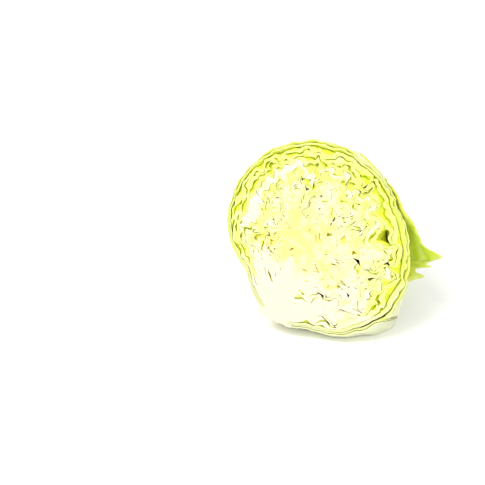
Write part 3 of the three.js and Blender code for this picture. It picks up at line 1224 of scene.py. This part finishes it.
    def sheet(self, leaf: Wrapper) -> Sheet:
        """Make one wrapper leaf.

        Args:
            leaf: the leaf.

        Returns:
            The leaf's two sides and marks.
        """
        depth, turn, share = self.grid(leaf)
        reach = depth[:, :1]
        lows, highs, veins = self.layers(depth, turn)
        low, high, pale = lows[leaf.rank], highs[leaf.rank], veins[leaf.rank][1]
        skin = np.maximum(self.head.skin(depth, turn), 1.0)
        way = self.head.direction(depth, turn)
        spot = way * USUAL_RADIUS
        margin_near = np.minimum(share[None, :] * (reach - leaf.deep) * 1.3, 40.0)
        edge = smooth(16.0, 0.0, margin_near) * smooth(88.0, 78.0, reach)
        ripple = 2.2 * Patterns.RIPPLE.at(spot, rank=leaf.rank) + 2.0
        lift = edge * ripple / skin * smooth(0.10, 0.02, low_swell(depth, turn))
        if leaf.flare is not None:
            spring = leaf.flare(depth, turn)
            lift = lift + spring * (1.0 + 0.12 * Patterns.FLAP.at(spot))
            lift = lift + 0.03 * smooth(0.1, 0.2, spring) * Patterns.FINE_FLAP.at(spot)
        middle, half = 0.5 * (low + high) + lift, 0.5 * (high - low) * (1.0 - 0.6 * edge)
        sides = []
        for level in (middle + half, middle - half):
            flat = self.head.at(level, depth, turn)
            sides.append(self.head.crumpled(flat, np.minimum(level, 1.0)))
        for side in sides:
            side[..., 2] = np.maximum(side[..., 2], 0.0)
        cut = (depth > FACE - 0.1).astype(float)
        up = smooth(-0.8, 0.4, way[..., 1])
        green = np.clip(leaf.green * (0.35 + 0.65 * up) + 0.25 * edge, 0.0, 1.0)
        left = 0.85 * bell(np.mod(turn, 360.0), 207.0, 32.0) * cut
        green, pale = np.maximum(green, left), pale * (1.0 - left)
        # Painted light: the inner side of each wrapper near the cut face lies in the shaded gaps
        # between leaves and is tinted bright lime-yellow, as if lit through the thin leaves; the
        # loose leaf's standing flap is left out.
        painted_rim_glow = 0.85 * smooth(66.0, 84.0, depth)
        if leaf.rank is Rank.LOOSE:
            painted_rim_glow = painted_rim_glow * smooth(0.09, 0.03, loose_flare(depth, turn) - low_swell(depth, turn))
        marks = {"green": (green, np.clip(green + 0.15, 0.0, 1.0)), "rib": (pale, pale * 0.5),
                 "cut": (cut, cut), "gold": (0.0 * green, painted_rim_glow)}
        return Sheet(sides[0], sides[1], marks, leaf.wrapped, leaf.wrapped)

    def build(self) -> None:
        """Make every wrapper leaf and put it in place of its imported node."""
        finish = WRAPPER.material()
        for leaf in self.leaves:
            piece = self.sheet(leaf).build(f"{leaf.name}_skin", self.head, self.crease)
            dress(piece, finish, leaf.name)


# ---------------------------------------------------------------- stem


@dataclass
class Stem:
    """The solid core of the head, cut lengthways, with its cut end."""

    head: Head
    columns: int = 60
    rows: int = 90
    tip_radius: float = 1.2
    spread: float = 15.2
    proud: float = 0.12
    crease: float = 50.0

    def build(self) -> None:
        """Make the stem: half rings round its axis from tip to cut end, closed flat.

        The outer side is the half round surface, the inner side is the cut face, both on
        the same grid of places along the axis and turns about it.
        """
        along = np.linspace(0.02, 1.0, self.rows)
        turns = np.radians(np.linspace(0.0, 180.0, self.columns))
        a, t = np.meshgrid(along, turns, indexing="ij")
        middle = (1.0 - a)[..., None] * np.array(self.head.heart)
        middle = middle + a[..., None] * np.array([0.0, -self.head.stem_length, 0.0])
        swell = 1.0 + 0.10 * Grain.at(np.stack([a * 9.0, np.cos(t), np.sin(t)], -1), Patterns.CORE)
        rim = np.sqrt(np.clip(1.0 - smooth(0.965, 1.0, a) ** 2 * 0.35, 0.0, 1.0))
        radius = (self.tip_radius + self.spread * a ** 0.85) * swell * rim
        ring = np.stack([radius * np.cos(t), 0.0 * t, radius * np.sin(t)], -1)
        rough = 0.8 * Patterns.CUT_END.at(ring) * smooth(0.9, 1.0, a)
        ridge = np.array([0.0, 1.0, 0.0]) * rough[..., None]
        outer = middle + ring + ridge
        share = np.cos(t)
        flat = np.stack([radius * share, 0.0 * t, 0.0 * t], -1)
        face = middle + flat
        face[..., 2] = -self.proud + 0.45 * np.abs(share) ** 4
        face[..., 1] = outer[..., 1]
        outer[..., 2] = np.maximum(outer[..., 2], face[..., 2])
        cut = np.ones_like(a)
        zero = np.zeros_like(a)
        brown = smooth(0.97, 1.0, a)
        marks = {"green": (zero + 0.2, zero), "rib": (1.0 - brown, 1.0 + zero), "cut": (zero, cut),
                 "gold": (0.6 * brown, zero)}
        piece = Sheet(outer, face, marks).build("stem_flesh", self.head, self.crease)
        dress(piece, STEM.material(), "stem")


# ---------------------------------------------------------------- studio


@dataclass(frozen=True)
class Lamp:
    """A square lamp aimed at the origin: its place and size in metres, its power in watts."""

    name: str
    place: tuple[float, float, float]
    size: float
    power: float


@dataclass
class Studio:
    """A pale floor, soft light and the camera."""

    distance: float = 0.875
    azimuth: float = 8.0
    elevation: float = 32.0
    lens: float = 80.0
    aside: float = 0.075
    above: float = -0.0065
    sensor: float = 36.0
    floor_half: float = 4.0
    room: float = 0.95
    lamps: tuple[Lamp, ...] = (
        Lamp("key", (-0.75, -0.35, 1.25), 0.8, 13.5), Lamp("fill", (0.9, -0.9, 0.9), 1.2, 3.0))

    def floor(self) -> None:
        """Lay a wide pale floor."""
        mesh = bpy.data.meshes.new("floor")
        half = self.floor_half
        corners = [(-half, -half, 0.0), (half, -half, 0.0), (half, half, 0.0), (-half, half, 0.0)]
        mesh.from_pydata(corners, [], [(0, 1, 2, 3)])
        floor = bpy.data.objects.new("floor", mesh)
        bpy.context.scene.collection.objects.link(floor)
        s = Shader("floor_finish")
        tone = s.noise(3.0)
        colour = s.blend(tone, (0.93, 0.93, 0.93), (0.95, 0.95, 0.95))
        mesh.materials.append(s.finish({"Base Color": colour, "Roughness": 0.75}))

    def light(self) -> None:
        """Light the scene with a bright room and two broad lamps."""
        world = bpy.data.worlds.new("room")
        world.use_nodes = True
        background = world.node_tree.nodes["Background"]
        background.inputs["Color"].default_value = (1.0, 1.0, 1.0, 1.0)
        background.inputs["Strength"].default_value = self.room
        bpy.context.scene.world = world
        for lamp in self.lamps:
            data = bpy.data.lights.new(lamp.name, "AREA")
            data.size = lamp.size
            data.energy = lamp.power
            made = bpy.data.objects.new(lamp.name, data)
            made.location = lamp.place
            made.rotation_euler = direction_turn(-np.array(lamp.place))
            bpy.context.scene.collection.objects.link(made)

    def camera(self) -> None:
        """Set the camera in front, above and a little to the right of the cut face."""
        az, el = math.radians(self.azimuth), math.radians(self.elevation)
        look = np.array([-math.sin(az) * math.cos(el), math.cos(az) * math.cos(el), -math.sin(el)])
        right = np.array([math.cos(az), math.sin(az), 0.0])
        up = np.cross(right, look)
        low, high = cad_bounds
        middle = 0.5 * (np.array(low) + np.array(high))
        target = middle - right * self.aside + up * self.above
        data = bpy.data.cameras.new("camera")
        data.lens = self.lens
        data.sensor_width = self.sensor
        made = bpy.data.objects.new("camera", data)
        made.location = target - look * self.distance
        made.rotation_euler = direction_turn(look)
        bpy.context.scene.collection.objects.link(made)
        bpy.context.scene.camera = made

    def build(self) -> None:
        """Set the whole studio and the plain view transform."""
        self.camera()
        self.floor()
        self.light()
        bpy.context.scene.view_settings.view_transform = "Standard"


def direction_turn(aim: Sequence[float]) -> tuple[float, float, float]:
    """Return the Euler turn that points an object's -Z along a direction, upright."""
    x, y, z = aim
    return (math.atan2(math.hypot(x, y), -z), 0.0, math.atan2(-x, y))


def main() -> None:
    """Build the studio and every piece of the lettuce."""
    logging.basicConfig(level=logging.INFO, format="%(message)s")
    Studio().build()
    head = Head()
    Stem(head).build()
    LeafStack(head).build()
    WrapperLeaves(head).build()


if __name__ == "__main__":
    main()
